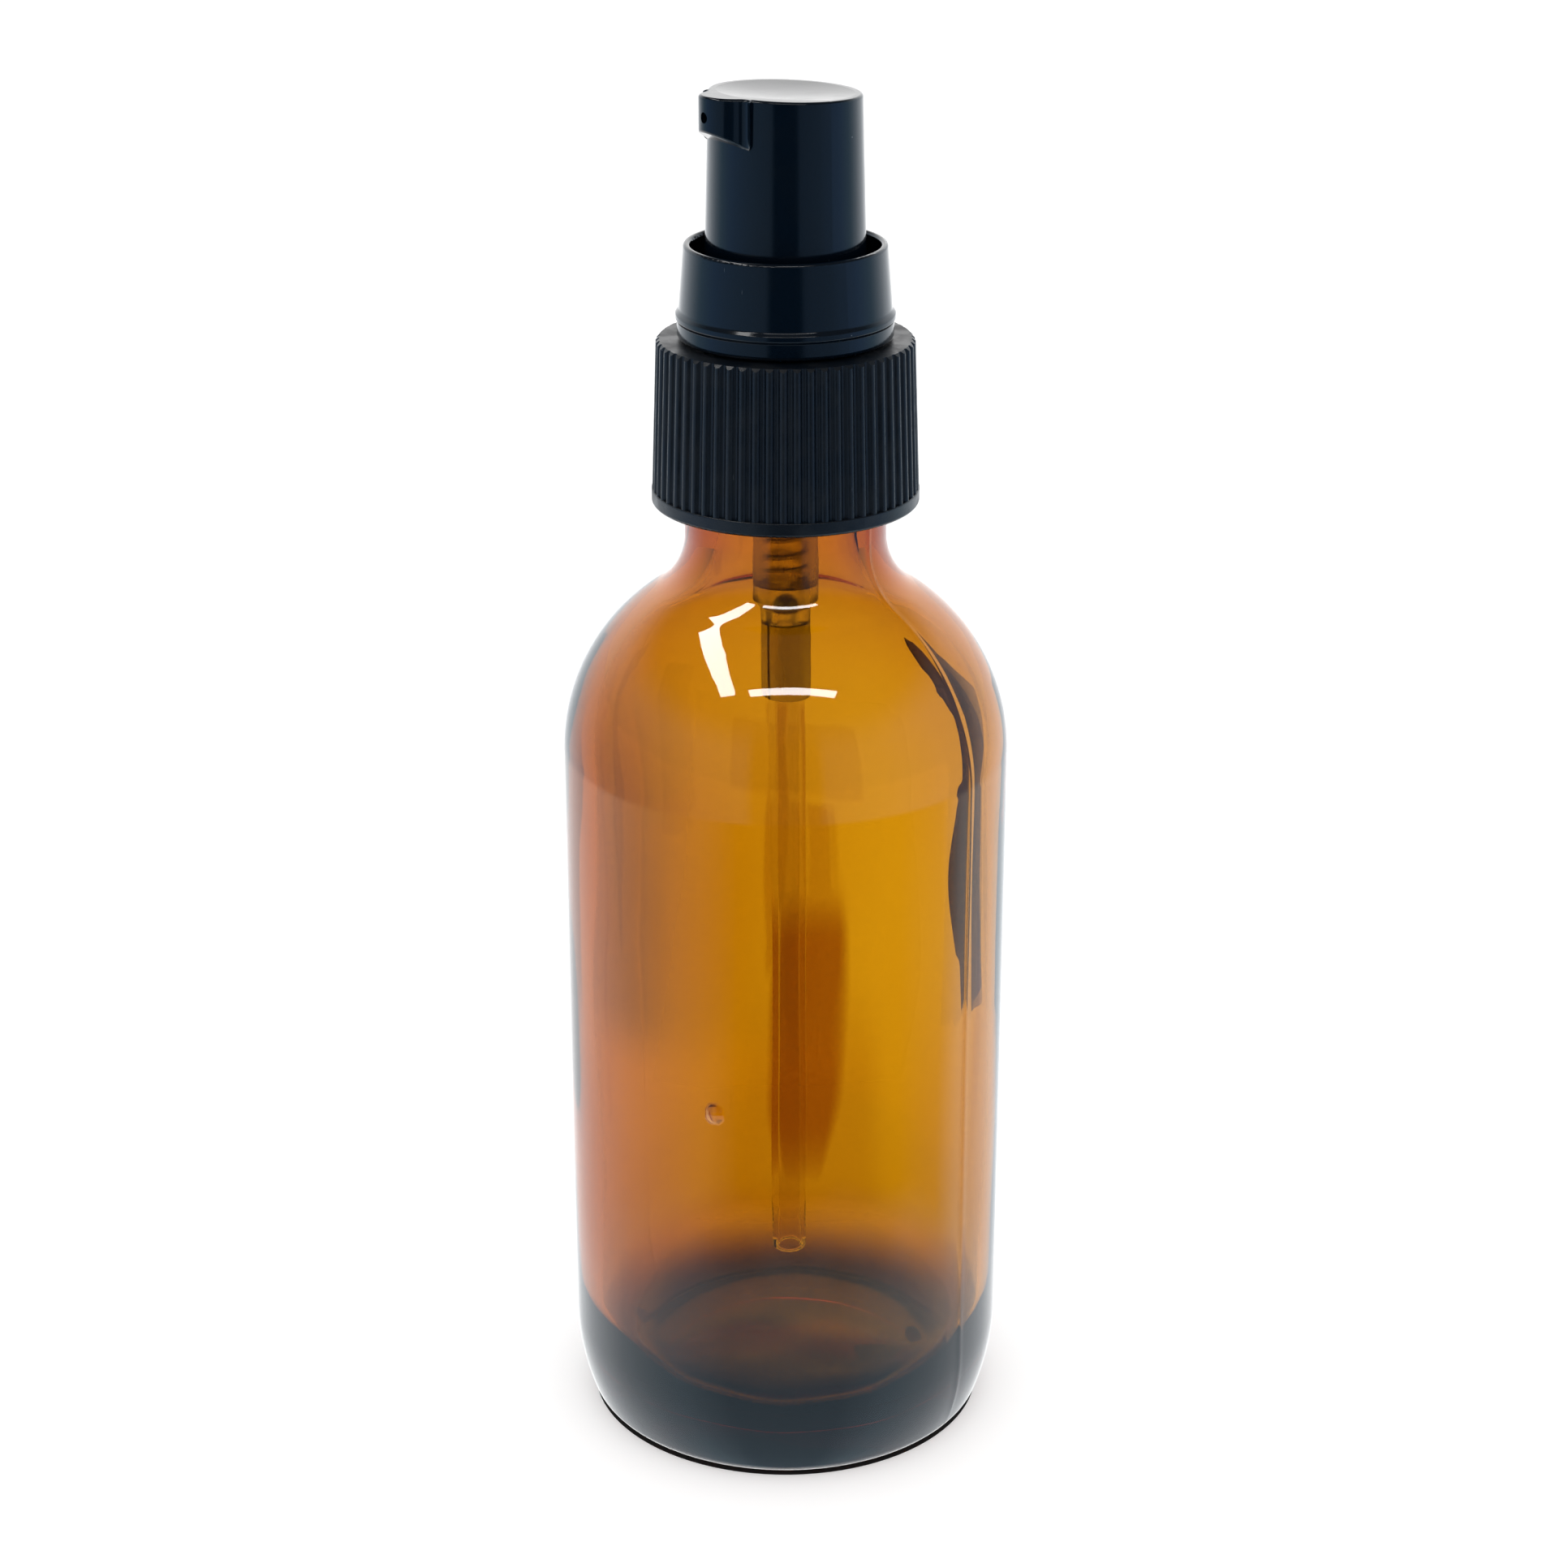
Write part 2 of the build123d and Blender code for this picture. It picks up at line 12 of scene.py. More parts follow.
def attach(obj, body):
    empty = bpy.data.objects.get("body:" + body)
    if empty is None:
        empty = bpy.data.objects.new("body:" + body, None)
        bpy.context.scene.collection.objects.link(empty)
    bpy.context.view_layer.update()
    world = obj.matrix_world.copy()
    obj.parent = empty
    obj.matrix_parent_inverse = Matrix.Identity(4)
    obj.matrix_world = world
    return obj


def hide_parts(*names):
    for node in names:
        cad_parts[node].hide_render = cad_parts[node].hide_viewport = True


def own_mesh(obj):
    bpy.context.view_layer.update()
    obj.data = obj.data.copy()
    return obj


MM = 0.001
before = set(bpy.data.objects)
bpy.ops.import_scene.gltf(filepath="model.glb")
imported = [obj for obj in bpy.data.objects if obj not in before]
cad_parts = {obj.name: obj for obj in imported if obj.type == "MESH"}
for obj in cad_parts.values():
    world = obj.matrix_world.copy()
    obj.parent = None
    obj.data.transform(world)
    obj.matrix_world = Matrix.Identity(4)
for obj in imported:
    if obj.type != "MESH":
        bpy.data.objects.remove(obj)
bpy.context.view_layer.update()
scene = bpy.context.scene

# The camera stands to the right of the beak, above the bottle
CAMERA_AZIMUTH = math.radians(55)
CAMERA_DISTANCE = 277.2
CAMERA_HEIGHT = 169.7
CAMERA_PITCH = 0.3643
CAMERA_LENS = 77.46
CAMERA_SHIFT_X = -0.001
CAMERA_SHIFT_Y = -0.03
CAMERA_CLIP = 10.0

# Studio directions: to the camera's right, and away from it
RIGHT = Vector((math.cos(CAMERA_AZIMUTH), math.sin(CAMERA_AZIMUTH), 0))
AWAY = Vector((-math.sin(CAMERA_AZIMUTH), math.cos(CAMERA_AZIMUTH), 0))


def studio(right, away, height):
    """Place in metres from millimetres to the camera's right, away from it, and up."""
    return (RIGHT * right + AWAY * away + Vector((0, 0, height))) * MM


def add_camera():
    """Camera at the photo's viewing angle."""
    data = bpy.data.cameras.new("camera")
    data.lens = CAMERA_LENS
    data.shift_x = CAMERA_SHIFT_X
    data.shift_y = CAMERA_SHIFT_Y
    data.clip_start = CAMERA_CLIP * MM
    camera = bpy.data.objects.new("camera", data)
    scene.collection.objects.link(camera)
    camera.location = studio(0, -CAMERA_DISTANCE, CAMERA_HEIGHT)
    camera.rotation_euler = (math.pi / 2 - CAMERA_PITCH, 0, CAMERA_AZIMUTH)
    scene.camera = camera


# ---------------------------------------------------------------- shader helpers
class Nodes:
    """A node tree, with short calls for adding and joining nodes."""

    def __init__(self, owner):
        owner.use_nodes = True
        self.owner = owner
        self.tree = owner.node_tree

    def add(self, kind, **values):
        """New node; values set its inputs by name, or its own properties."""
        node = self.tree.nodes.new("ShaderNode" + kind)
        for key, value in values.items():
            label = key.replace("_", " ")
            if label in node.inputs:
                node.inputs[label].default_value = value
            else:
                setattr(node, key, value)
        return node

    def join(self, source, target):
        self.tree.links.new(source, target)

    def math(self, operation, first, second=None):
        """Math node; each term is a socket or a number."""
        node = self.add("Math", operation=operation)
        for index, term in enumerate((first, second)):
            if term is None:
                continue
            if isinstance(term, (int, float)):
                node.inputs[index].default_value = term
            else:
                self.join(term, node.inputs[index])
        return node.outputs[0]

    def ramp(self, source, low, high, start, end, kind="SMOOTHSTEP"):
        """Maps source from low..high to start..end, clamped."""
        node = self.add("MapRange", interpolation_type=kind)
        for name, value in (("From Min", low), ("From Max", high), ("To Min", start), ("To Max", end)):
            node.inputs[name].default_value = value
        self.join(source, node.inputs["Value"])
        return node.outputs["Result"]

    def colours(self, source, *stops):
        """Colour ramp through (position, colour) stops."""
        node = self.add("ValToRGB")
        elements = node.color_ramp.elements
        while len(elements) < len(stops):
            elements.new(1.0)
        for element, (position, colour) in zip(elements, stops):
            element.position = position
            element.color = (*colour, 1)
        self.join(source, node.inputs["Fac"])
        return node.outputs["Color"]

    def mix(self, factor, first, second):
        """Colour mix; each colour is a socket or a triple."""
        node = self.add("Mix", data_type="RGBA")
        self.join(factor, node.inputs["Factor"])
        for socket, colour in ((node.inputs[6], first), (node.inputs[7], second)):
            if isinstance(colour, tuple):
                socket.default_value = (*colour, 1)
            else:
                self.join(colour, socket)
        return node.outputs[2]


class Finish(Nodes):
    """A material on one Principled shader."""

    def __init__(self, name, **values):
        super().__init__(bpy.data.materials.new(name))
        self.shader = self.tree.nodes["Principled BSDF"]
        self.output = self.tree.nodes["Material Output"]
        for key, value in values.items():
            self.shader.inputs[key.replace("_", " ")].default_value = value

    def place(self, stretch=(1, 1, 1)):
        """Object coordinates in millimetres, times stretch."""
        coordinates = self.add("TexCoord")
        mapping = self.add("Mapping")
        mapping.inputs["Scale"].default_value = [factor / MM for factor in stretch]
        self.join(coordinates.outputs["Object"], mapping.inputs["Vector"])
        return mapping.outputs["Vector"]

    def noise(self, scale, detail=2.0, stretch=(1, 1, 1)):
        """Noise with features about 1/scale millimetres across."""
        node = self.add("TexNoise", Scale=scale, Detail=detail)
        self.join(self.place(stretch), node.inputs["Vector"])
        return node.outputs["Fac"]

    def specks(self, scale, size, share, stretch=(1, 1, 1)):
        """1 in sparse specks of that size in millimetres, in a share of the cells, else 0."""
        cells = self.add("TexVoronoi", Scale=scale)
        self.join(self.place(stretch), cells.inputs["Vector"])
        near = self.ramp(cells.outputs["Distance"], size * scale * 0.5, size * scale, 1, 0)
        chosen = self.math("LESS_THAN", self.split(cells.outputs["Color"]), share)
        return self.math("MULTIPLY", near, chosen)

    def split(self, colour):
        node = self.add("SeparateColor")
        self.join(colour, node.inputs["Color"])
        return node.outputs["Red"]

    def bump(self, *layers):
        """Stacks (height, millimetres) layers into the shader's normal."""
        normal = None
        for height, distance in layers:
            node = self.add("Bump", Distance=distance * MM)
            self.join(height, node.inputs["Height"])
            if normal is not None:
                self.join(normal, node.inputs["Normal"])
            normal = node.outputs["Normal"]
        self.join(normal, self.shader.inputs["Normal"])

    def feed(self, source, name):
        self.join(source, self.shader.inputs[name])


# ---------------------------------------------------------------- materials
GLASS_IOR = 1.52
GLASS_TINT = (0.917, 0.774, 0.0)
GLASS_DENSITY = 1600.0
BLACK = (0.0006, 0.0026, 0.006)
DUST = (0.10, 0.12, 0.14)
TUBE_END_Z = 13.8
TUBE_BEND = 1.006
TUBE_END_BEND = 1.15
TUBE_END_FROM = 1.0
TUBE_END_TO = 5.0


def amber_glass():
    """Container glass: clear, coloured by its depth, with faint ripples and smears."""
    f = Finish("amber_glass", Base_Color=(1, 1, 1, 1), Transmission_Weight=1.0, IOR=GLASS_IOR)
    smears = f.ramp(f.noise(0.12, 4, (1, 1, 0.4)), 0.5, 0.75, 0.0, 0.02)
    f.feed(smears, "Roughness")
    f.bump((f.noise(0.16, 1, (1, 1, 0.35)), 0.05))
    volume = f.add("VolumeAbsorption", Color=(*GLASS_TINT, 1), Density=GLASS_DENSITY)
    f.join(volume.outputs["Volume"], f.output.inputs["Volume"])
    return f.owner


def black_plastic(name, roughness, grain, grain_depth):
    """Moulded black polypropylene: blue-black, with grain, hairline scratches and dust."""
    f = Finish(name, IOR=1.5)
    scratches = f.specks(0.16, 0.35, 0.5, (14, 14, 1))
    dust = f.specks(0.55, 0.07, 0.3)
    marks = f.math("MAXIMUM", f.math("MULTIPLY", scratches, 0.35), dust)
    f.feed(f.mix(marks, BLACK, DUST), "Base Color")
    worn = f.ramp(f.noise(0.5, 4), 0.35, 0.7, roughness, roughness * 1.5)
    f.feed(f.math("MAXIMUM", worn, f.math("MULTIPLY", marks, 0.5)), "Roughness")
    f.bump((f.noise(0.25, 2), 0.01), (f.noise(grain, 3), grain_depth))
    return f.owner


def translucent(name, clear, bend, roughness, light, dark):
    """Finish of natural polyolefin, milky and partly clear, with flow marks."""
    f = Finish(name, IOR=bend, Transmission_Weight=clear)
    flow = f.noise(0.4, 3, (1, 1, 0.3))
    f.feed(f.mix(f.ramp(flow, 0.3, 0.7, 0, 1), light, dark), "Base Color")
    f.feed(f.ramp(flow, 0.3, 0.7, roughness, roughness * 1.6), "Roughness")
    f.bump((f.noise(2.5, 2), 0.006))
    return f


def dip_tube_plastic():
    """Clear tube that hardly bends light, except at its cut end."""
    f = translucent("natural_tube", 1.0, TUBE_BEND, 0.01, (0.93, 0.88, 0.81), (0.88, 0.83, 0.76))
    place = f.add("SeparateXYZ")
    f.join(f.place(), place.inputs["Vector"])
    start, end = TUBE_END_Z + TUBE_END_FROM, TUBE_END_Z + TUBE_END_TO
    f.feed(f.ramp(place.outputs["Z"], start, end, TUBE_END_BEND, TUBE_BEND), "IOR")
    return f.owner


def white_plastic():
    """Moulded white polyethylene with faint flow marks."""
    f = Finish("white_plastic", IOR=1.5)
    flow = f.noise(0.5, 3)
    f.feed(f.mix(flow, (0.86, 0.86, 0.84), (0.78, 0.78, 0.75)), "Base Color")
    f.feed(f.ramp(flow, 0.3, 0.7, 0.35, 0.5), "Roughness")
    f.bump((f.noise(4.0, 2), 0.008))
    return f.owner


def white_foam():
    """Closed-cell foam."""
    f = Finish("white_foam", IOR=1.4)
    cells = f.add("TexVoronoi", Scale=3.5)
    f.join(f.place(), cells.inputs["Vector"])
    f.feed(f.mix(cells.outputs["Distance"], (0.70, 0.70, 0.67), (0.90, 0.90, 0.88)), "Base Color")
    f.feed(f.ramp(cells.outputs["Distance"], 0, 1, 0.9, 0.7), "Roughness")
    f.bump((cells.outputs["Distance"], 0.05))
    return f.owner


def steel(name, roughness, stretch):
    """Stainless steel with drawing marks along the stretched direction."""
    f = Finish(name, Metallic=1.0)
    marks = f.noise(6.0, 3, stretch)
    f.feed(f.mix(marks, (0.58, 0.57, 0.55), (0.72, 0.71, 0.69)), "Base Color")
    f.feed(f.ramp(marks, 0.3, 0.7, roughness, roughness * 1.8), "Roughness")
    f.bump((marks, 0.003))
    return f.owner


def finish_nodes(glass, wire):
    """Gives each CAD node its finished material."""
    gloss = black_plastic("black_gloss", 0.10, 1.5, 0.0025)
    pale, deep = (0.98, 0.96, 0.92), (0.93, 0.91, 0.86)
    natural = translucent("natural_plastic", 0.97, 1.4, 0.25, pale, deep).owner
    white = white_plastic()
    finishes = {
        "bottle": glass,
        "closure": black_plastic("black_satin", 0.30, 7.0, 0.010),
        "shroud": gloss,
        "actuator": gloss,
        "gasket": white_foam(),
        "housing": natural,
        "chaplet": natural,
        "ball_retainer": natural,
        "dip_tube": dip_tube_plastic(),
        "inlet_ball": steel("polished_steel", 0.06, (1, 1, 1)),
        "return_spring": wire,
        "piston_rod": white,
        "piston": white,
        "stem": white,
    }
    for node, material in finishes.items():
        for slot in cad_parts[node].material_slots:
            slot.material = material


# ---------------------------------------------------------------- bottle
BODY_R = 19.5
WALL = 2.0
FLOOR_Z = 3.2
HEEL_Z = 8.4
HEEL_SWEEP_R = 22.0
HEEL_CORNER_R = 1.6
INNER_HEEL_R = 5.0
INNER_HEEL_H = 8.8
PUNT_R = 13.2
PUNT_H = 1.0
SHOULDER_Z = 63.2
SHOULDER_R = 17.4
NECK_R = 8.7
NECK_FILLET_R = 6.0
BORE_R = 5.9
BORE_FILLET_R = 8.8
FINISH_R = 8.8
FINISH_Z = 86.6
FINISH_STEP_H = 0.3
BOTTLE_H = 96.0
LIP_ROUND = 0.7
PITCH = 3.175
THREAD_HEIGHT = 1.0
THREAD_ROOT_W = 2.0
THREAD_CREST_W = 0.8
THREAD_TURNS = 1.25
THREAD_Z = 90.2
THREAD_FADE = math.radians(25)

COLUMNS = 240
SEAMS = (math.radians(19), math.radians(199))
SEAM_HALF_W = 0.22
SEAM_SPREAD = 1.6
SEAM_HEIGHT = 0.05
BLISTER_ANGLE = math.radians(-53.2)
BLISTER_Z = 36.5
BLISTER_W = 0.75
BLISTER_H = 0.95
BLISTER_RISE = 0.28
BLISTER_MARGIN = 1.5
BLISTER_COLUMNS = 5
BLISTER_REACH = 7

# Unevenness in millimetres. Each ripple is its radius in the noise, its length up the
# bottle, and where in the noise it starts
CAVITY_OFFSET = 0.5
CAVITY_WAVE = 0.16
CAVITY_COARSE = (1.3, 26, 7)
CAVITY_FINE = (3.4, 17, 31)
CAVITY_FINE_SHARE = 0.35
SKIN_WAVE = 0.03
SKIN_RIPPLE = (1.6, 22, 0)
FLOOR_WAVE = 0.25
FLOOR_RIPPLE_L = 7
FLOOR_RIPPLE_START = 3.5


def smooth(value):
    """Smooth step of a value from 0 to 1."""
    value = min(max(value, 0.0), 1.0)
    return value * value * (3 - 2 * value)


def arc(centre_r, centre_z, radius, start, end, steps):
    """Points (radius, height) along an arc, without its first point; angles in degrees."""
    points = []
    for step in range(1, steps + 1):
        angle = math.radians(start + (end - start) * step / steps)
        points.append((centre_r + radius * math.cos(angle), centre_z + radius * math.sin(angle)))
    return points


def run(start, end, steps):
    """Points along a straight run, without its first point."""
    points = []
    for step in range(1, steps + 1):
        share = step / steps
        r = start[0] + (end[0] - start[0]) * share
        z = start[1] + (end[1] - start[1]) * share
        points.append((r, z))
    return points


def outside_profile():
    """The glass from the centre of the base, round the heel and shoulder, to the lip's top."""
    punt_r = (PUNT_R**2 + PUNT_H**2) / (2 * PUNT_H)
    punt_half = math.degrees(math.asin(PUNT_R / punt_r))
    sweep_x = BODY_R - HEEL_SWEEP_R
    reach = math.sqrt((HEEL_SWEEP_R - HEEL_CORNER_R) ** 2 - (HEEL_Z - HEEL_CORNER_R) ** 2)
    lean = math.degrees(math.atan2(HEEL_Z - HEEL_CORNER_R, reach))
    corner_x = sweep_x + reach
    arc_x = BODY_R - SHOULDER_R
    fillet_x = NECK_R + NECK_FILLET_R
    fillet_z = SHOULDER_Z + math.sqrt((SHOULDER_R + NECK_FILLET_R) ** 2 - (fillet_x - arc_x) ** 2)
    join = math.degrees(math.atan2(fillet_z - SHOULDER_Z, fillet_x - arc_x))
    points = arc(0, PUNT_H - punt_r, punt_r, 90, 90 - punt_half, 12)
    points += run(points[-1], (corner_x, 0), 3)
    points += arc(corner_x, HEEL_CORNER_R, HEEL_CORNER_R, -90, -lean, 9)
    points += arc(sweep_x, HEEL_Z, HEEL_SWEEP_R, -lean, 0, 8)
    margin = BLISTER_MARGIN * BLISTER_H
    below, above = BLISTER_Z - margin, BLISTER_Z + margin
    points += run(points[-1], (BODY_R, below), 16)
    points += run(points[-1], (BODY_R, above), 18)
    points += run(points[-1], (BODY_R, SHOULDER_Z), 16)
    points += arc(arc_x, SHOULDER_Z, SHOULDER_R, 0, join, 40)
    points += arc(fillet_x, fillet_z, NECK_FILLET_R, 180 + join, 180, 18)
    points += run(points[-1], (NECK_R, FINISH_Z - FINISH_STEP_H), 4)
    points += run(points[-1], (FINISH_R, FINISH_Z), 1)
    points += run(points[-1], (FINISH_R, BOTTLE_H - LIP_ROUND), 44)
    points += arc(FINISH_R - LIP_ROUND, BOTTLE_H - LIP_ROUND, LIP_ROUND, 0, 90, 5)
    return points


def inside_profile():
    """The glass from the lip's top, down the bore and the wall, to the centre of the floor."""
    arc_x = BODY_R - SHOULDER_R
    inner_r = BODY_R - WALL
    inner_shoulder_r = SHOULDER_R - WALL
    bore_x = BORE_R + BORE_FILLET_R
    bore_z = SHOULDER_Z + math.sqrt((inner_shoulder_r + BORE_FILLET_R) ** 2 - (bore_x - arc_x) ** 2)
    join = math.degrees(math.atan2(bore_z - SHOULDER_Z, bore_x - arc_x))
    points = run((FINISH_R - LIP_ROUND, BOTTLE_H), (BORE_R + LIP_ROUND, BOTTLE_H), 2)
    points += arc(BORE_R + LIP_ROUND, BOTTLE_H - LIP_ROUND, LIP_ROUND, 90, 180, 5)
    points += run(points[-1], (BORE_R, bore_z), 12)
    points += arc(bore_x, bore_z, BORE_FILLET_R, 180, 180 + join, 18)
    points += arc(arc_x, SHOULDER_Z, inner_shoulder_r, join, 0, 36)
    points += run(points[-1], (inner_r, FLOOR_Z + INNER_HEEL_H), 42)
    for x, z in arc(0, 0, 1, 0, -90, 16):
        points.append((inner_r - INNER_HEEL_R * (1 - x), FLOOR_Z + INNER_HEEL_H * (1 + z)))
    points += run(points[-1], (0, FLOOR_Z), 14)[:-1]
    return points


def column_angles():
    """Even columns, with closer ones at the mould seams and at the blister."""
    seam_step = SEAM_HALF_W / BODY_R
    blister_step = BLISTER_W / BODY_R / BLISTER_COLUMNS
    extra = [seam + side * seam_step for seam in SEAMS for side in (-1, 0, 1)]
    reach = range(-BLISTER_REACH, BLISTER_REACH + 1)
    extra += [BLISTER_ANGLE + step * blister_step for step in reach]
    extra = [angle % math.tau for angle in extra]
    clear = math.tau / COLUMNS / 2
    angles = [math.tau * index / COLUMNS for index in range(COLUMNS)]
    angles = [angle for angle in angles if min(abs(angle - other) for other in extra) > clear]
    return sorted(angles + extra)


def turn_from(angle, other):
    """Signed smallest turn between two angles."""
    return (angle - other + math.pi) % math.tau - math.pi


def thread_rise(angle, z):
    """How far the screw thread stands out of the finish."""
    rise = 0.0
    for turn in range(math.ceil(THREAD_TURNS)):
        along = angle + turn * math.tau
        end = THREAD_TURNS * math.tau
        if along > end:
            continue
        off = abs(z - THREAD_Z - PITCH * along / math.tau)
        flank = (THREAD_ROOT_W / 2 - off) / ((THREAD_ROOT_W - THREAD_CREST_W) / 2)
        fade = smooth(min(along, end - along) / THREAD_FADE)
        rise = max(rise, THREAD_HEIGHT * smooth(flank) * fade)
    return rise


def ripple(angle, z, radius, length, start):
    """Noise from -1 to 1 round the axis; a larger radius gives more waves."""
    x, y = radius * math.cos(angle), radius * math.sin(angle)
    return noise.noise(Vector((x, y, z / length + start)))


def outside_shift(angle, r, z):
    """Mould seams, blister, thread and the faint waviness of the outer skin."""
    if z > FINISH_Z:
        return thread_rise(angle, z)
    shift = -SKIN_WAVE * (0.5 + 0.5 * ripple(angle, z, *SKIN_RIPPLE)) * r / BODY_R
    if z > HEEL_CORNER_R:
        for seam in SEAMS:
            off = abs(turn_from(angle, seam)) * r
            shift += SEAM_HEIGHT * smooth(1 - off / (SEAM_SPREAD * SEAM_HALF_W))
    across = turn_from(angle, BLISTER_ANGLE) * BODY_R / BLISTER_W
    up = (z - BLISTER_Z) / BLISTER_H
    dome = 1 - across * across - up * up
    if dome > 0:
        shift += BLISTER_RISE * math.sqrt(dome)
    return shift


def inside_shift(angle, r, z):
    """Uneven wall: the cavity sits off centre and its surface waves."""
    free = smooth((SHOULDER_Z + SHOULDER_R - z) / SHOULDER_R) * r / BODY_R
    offset = CAVITY_OFFSET * math.cos(angle - CAMERA_AZIMUTH)
    coarse = ripple(angle, z, *CAVITY_COARSE)
    fine = ripple(angle, z, *CAVITY_FINE)
    return free * (offset + CAVITY_WAVE * (coarse + CAVITY_FINE_SHARE * fine))


def floor_lift(x, y):
    """Unevenness of the inner floor."""
    place = Vector((x / FLOOR_RIPPLE_L, y / FLOOR_RIPPLE_L, FLOOR_RIPPLE_START))
    return FLOOR_WAVE * noise.noise(place)


def add_mesh(name, vertices, faces, material):
    """New object in the scene; its vertices are in metres."""
    mesh = bpy.data.meshes.new(name)
    mesh.from_pydata(vertices, [], faces)
    mesh.materials.append(material)
    piece = bpy.data.objects.new(name, mesh)
    scene.collection.objects.link(piece)
    return piece


def shade_smooth(piece, count):
    """Smooth shading for the first faces of a piece, up to count."""
    polygons = piece.data.polygons
    polygons.foreach_set("use_smooth", [index < count for index in range(len(polygons))])
    piece.data.update()


def make_bottle(glass):
    """Blown glass bottle: one closed skin, outside and inside."""
    angles = column_angles()
    outside = outside_profile()
    profile = outside + inside_profile()
    vertices = [Vector((0, 0, PUNT_H))]
    for index, (r, z) in enumerate(profile):
        inner = index >= len(outside)
        shift = inside_shift if inner else outside_shift
        for angle in angles:
            radius = r + shift(angle, r, z)
            x, y = radius * math.cos(angle), radius * math.sin(angle)
            lift = 0.0
            if inner and z < FLOOR_Z + INNER_HEEL_H:
                lift = floor_lift(x, y) * (1 - (z - FLOOR_Z) / INNER_HEEL_H)
            vertices.append(Vector((x, y, z + lift)))
    vertices.append(Vector((0, 0, FLOOR_Z + floor_lift(0, 0))))
    count = len(angles)
    last = len(vertices) - 1
    faces = []
    for column in range(count):
        following = (column + 1) % count
        faces.append((0, 1 + following, 1 + column))
        for row in range(len(profile) - 1):
            low, high = 1 + row * count, 1 + (row + 1) * count
            faces.append((low + column, low + following, high + following, high + column))
        top = last - count
        faces.append((top + column, top + following, last))
    bottle = add_mesh("glass_bottle", [vertex * MM for vertex in vertices], faces, glass)
    shade_smooth(bottle, len(faces))
    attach(bottle, "bottle_root")
    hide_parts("bottle")
    return bottle


# ---------------------------------------------------------------- return spring
SPRING_R = 1.7
SPRING_WIRE_R = 0.225
SPRING_TURNS = 9
SPRING_LOW = 79.445
SPRING_HIGH = 90.455
WIRE_SIDES = 14
STEPS_PER_TURN = 36


def make_spring(wire):
    """Round-wire helix that rides on the rod's head."""
    steps = SPRING_TURNS * STEPS_PER_TURN
    height = SPRING_HIGH - SPRING_LOW
    slope = math.atan2(height, math.tau * SPRING_R * SPRING_TURNS)
    vertices = []
    for step in range(steps + 1):
        angle = math.tau * step / STEPS_PER_TURN
        out = Vector((math.cos(angle), math.sin(angle), 0))
        sideways = Vector((-math.sin(angle), math.cos(angle), 0))
        along = sideways * math.cos(slope) + Vector((0, 0, math.sin(slope)))
        across = along.cross(out)
        centre = out * SPRING_R + Vector((0, 0, SPRING_LOW + height * step / steps))
        for side in range(WIRE_SIDES):
            turn = math.tau * side / WIRE_SIDES
            rim = (out * math.cos(turn) + across * math.sin(turn)) * SPRING_WIRE_R
            vertices.append((centre + rim) * MM)
    faces = []
    for step in range(steps):
        low, high = step * WIRE_SIDES, (step + 1) * WIRE_SIDES
        for side in range(WIRE_SIDES):
            following = (side + 1) % WIRE_SIDES
            faces.append((low + side, low + following, high + following, high + side))
    round_faces = len(faces)
    faces.append(tuple(reversed(range(WIRE_SIDES))))
    faces.append(tuple(range(steps * WIRE_SIDES, (steps + 1) * WIRE_SIDES)))
    spring = add_mesh("spring_wire", vertices, faces, wire)
    shade_smooth(spring, round_faces)
    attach(spring, "plunger")
    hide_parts("return_spring")
    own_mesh(spring)


# ---------------------------------------------------------------- studio
WHITE = (1.0, 1.0, 1.0)
CARD_BLACK = (0.0, 0.0, 0.0)
CARD_ROUGHNESS = 0.9
STUDIO_STRENGTH = 1.0
FLOOR_LIGHT_STRENGTH = 1.3
REFLECTED_STRENGTH = 1.0

# Upward shares of a direction between which one view of the studio passes into the next
LOWER_BELOW = (-0.36, -0.32)
LOWEST_BELOW = (-0.505, -0.475)
CEILING_ABOVE = (0.30, 0.65)
CEILING = (0.08, 0.09, 0.10)

# Each lamp: start and end as (right, away) shares of its height, and its width
LAMP_HEIGHT = 380.0
LAMPS = {
    "front_lamp": ((-0.30, -0.57), (0.44, -0.57), 34),
    "left_lamp": ((-0.50, -0.57), (-0.45, 0.22), 60),
}
GLASS_LAMP_RADIANCE = 18.0
PLASTIC_LAMP_RADIANCE = 5.0

FLOOR_HALF = 3000.0
FLOOR_COLOUR = (0.93, 0.93, 0.93)
FLOOR_ROUGHNESS = 0.7
DISC_STEPS = 96
# Painted shade: a dark disc under the bottle, seen dark through the glass base
BASE_SHADE_R = 17.9
BASE_SHADE_COLOUR = (0.015, 0.015, 0.015)
BASE_SHADE_ROUGHNESS = 0.8
CONTACT_R = 29.0
CONTACT_TINT = (0.07, 0.06, 0.05)
GLOW_R = 62.0
GLOW_STRENGTH = 0.2

# Heights of the thin stage sheets
FLOOR_LEVEL = -0.06
GLOW_LEVEL = -0.05
BASE_SHADE_LEVEL = -0.04
CONTACT_LEVEL = -0.02
SHADE_LEVEL = 0.2

# Cards behind the bottle; each wave is its size, its length and its shift
CARD_AWAY = 61.0
FLAG_STEPS = 60
FLAG_LOW = 7.0
FLAG_HIGH = 60.0
FLAG_LEFT = 24.5
FLAG_RIGHT = 44.0
FLAG_WAVES = ((1.2, 5.5, 0.0), (0.8, 2.7, 1.0))
FLAG_TAPER = 9.0
FLAG_TAPER_H = 16.0
FLAG_BULGE = 5.0
FLAG_BULGE_Z = 45.0
FLAG_BULGE_H = 5.0
SIDE_FLAG_RIGHT = 45.0
SIDE_FLAG_NEAR = -12.0
SIDE_FLAG_FAR = 16.0
SIDE_FLAG_LOW = 26.0
SIDE_FLAG_HIGH = 110.0
